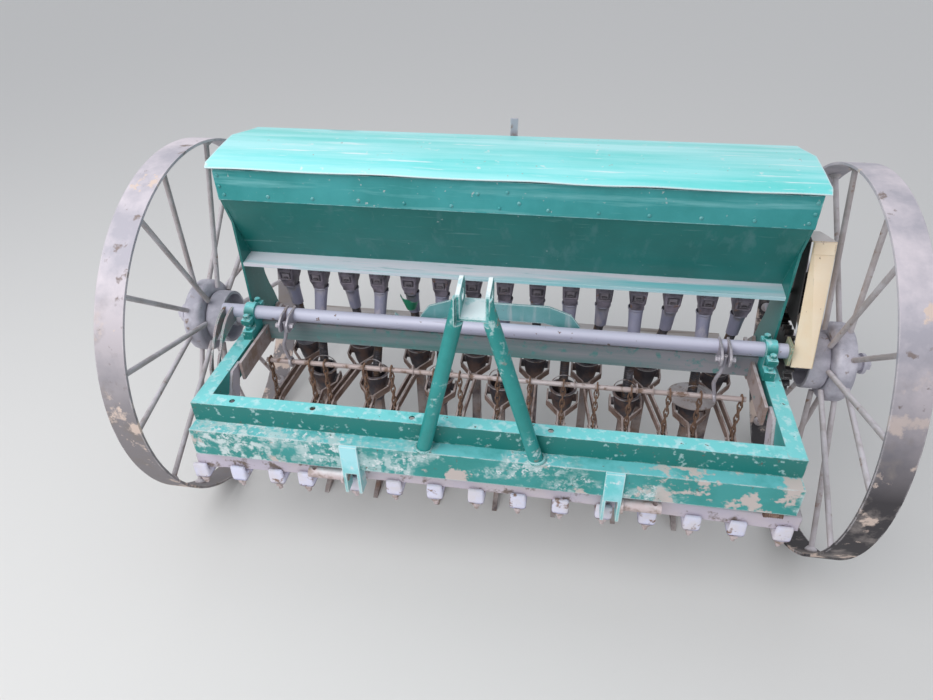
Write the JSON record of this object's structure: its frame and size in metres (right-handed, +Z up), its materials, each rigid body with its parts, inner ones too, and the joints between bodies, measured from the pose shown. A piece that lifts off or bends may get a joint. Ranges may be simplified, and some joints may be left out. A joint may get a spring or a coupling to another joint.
{
  "type": "seed drill",
  "caption": "Mounted seed drill: long hinged-lid hopper on two spoked steel wheels, three-point hitch frame, lift shaft with chains and rows of shoe coulters.",
  "frame": {"origin": "on the ground under the middle of the wheel axle", "axes": "+X along the axle towards the geared wheel, +Y from the hitch to the footboard, +Z up"},
  "size_m": [1.954, 1.02, 1.0502],
  "materials": {
    "green_paint": "worn satin",
    "light_green_paint": "worn satin",
    "cream_paint": "worn matt",
    "grey_steel": "weathered",
    "pale_steel": "weathered, dusty",
    "rusty_steel": "rusty",
    "black_iron": "dull",
    "funnel_plastic": "dull",
    "tube_steel": "dull",
    "board": "weathered"
  },
  "bodies": {
    "frame": {"front_box": "green_paint", "front_rail": "light_green_paint", "side_arms": "light_green_paint", "main_beam": "green_paint", "inner_stays": "pale_steel", "tower_legs": "green_paint", "tower_ears": "green_paint", "beam_braces": "green_paint", "hitch_brackets": "light_green_paint", "hitch_pins": "grey_steel", "coulter_bar": "grey_steel", "bar_hangers": "green_paint", "bar_stays": "grey_steel", "coulter_clamps": "pale_steel", "hopper_cheeks": "green_paint", "hopper_front_strip": "green_paint", "hopper_front_slope": "green_paint", "hopper_back": "green_paint", "hopper_floor": "green_paint", "hopper_ledge": "light_green_paint", "seed_meters": "black_iron", "seed_funnels": "funnel_plastic", "seed_tubes": "tube_steel", "axle_stubs": "grey_steel", "tube_bearings": "light_green_paint", "gear_guard": "cream_paint", "footboard": "board", "footboard_brackets": "grey_steel", "lid_hinges": "green_paint", "lever_bracket": "green_paint"},
    "lid": {"lid": "light_green_paint"},
    "lift": {"lift_tube": "grey_steel", "lift_levers": "grey_steel", "lift_rod": "pale_steel", "lift_end_arm": "cream_paint", "lift_sector": "rusty_steel"},
    "chains": {"chains": "rusty_steel"},
    "coulter_gang": {"drag_bars": "pale_steel", "boots": "rusty_steel", "cups": "rusty_steel"},
    "wheel_left": {"wheel_left_rim": "grey_steel", "wheel_left_spokes": "grey_steel", "wheel_left_hub": "grey_steel"},
    "wheel_right": {"wheel_right_rim": "grey_steel", "wheel_right_spokes": "grey_steel", "wheel_right_hub": "grey_steel", "drive_gear": "black_iron"},
    "feed": {"feed_shaft": "black_iron"},
    "idler": {"idler_gear": "black_iron"},
    "rear_lever": {"rear_lever": "grey_steel"}
  },
  "joints": [
    {"name": "lid_hinge", "type": "hinge", "parent": "frame", "child": "lid", "pos_m": [0, 0.213, 1], "axis": [-1, 0, 0], "range_deg": [0, 88]},
    {"name": "lift_shaft", "type": "hinge", "parent": "frame", "child": "lift", "pos_m": [0, -0.097, 0.598], "axis": [-1, 0, 0], "range_deg": [0, 28]},
    {"name": "coulter_lift", "type": "hinge", "parent": "frame", "child": "coulter_gang", "pos_m": [0, -0.358, 0.288], "axis": [1, 0, 0], "range_deg": [0, 11.87], "deforming": ["seed_tubes"]},
    {"name": "chain_swing", "type": "hinge", "parent": "lift", "child": "chains", "pos_m": [0, -0.144, 0.47], "axis": [1, 0, 0], "range_deg": [0, 45.28]},
    {"name": "wheel_left_turn", "type": "hinge", "parent": "frame", "child": "wheel_left", "pos_m": [0, 0, 0.51], "axis": [1, 0, 0], "continuous": true},
    {"name": "wheel_right_turn", "type": "hinge", "parent": "frame", "child": "wheel_right", "pos_m": [0, 0, 0.51], "axis": [1, 0, 0], "continuous": true},
    {"name": "idler_turn", "type": "hinge", "parent": "frame", "child": "idler", "pos_m": [0, 0.078, 0.61772], "axis": [1, 0, 0], "continuous": true},
    {"name": "feed_turn", "type": "hinge", "parent": "frame", "child": "feed", "pos_m": [0, 0.028, 0.702], "axis": [1, 0, 0], "continuous": true},
    {"name": "rear_lever_pivot", "type": "hinge", "parent": "frame", "child": "rear_lever", "pos_m": [0, 0.215, 0.702], "axis": [-1, 0, 0], "range_deg": [0, 40]}
  ],
  "couplings": [
    {"joint": "coulter_lift", "follows": "lift_shaft", "ratio": 0.424},
    {"joint": "chain_swing", "follows": "lift_shaft", "ratio": 1.617},
    {"joint": "idler_turn", "follows": "wheel_right_turn", "ratio": -2.1667},
    {"joint": "feed_turn", "follows": "wheel_right_turn", "ratio": 1.625}
  ]
}
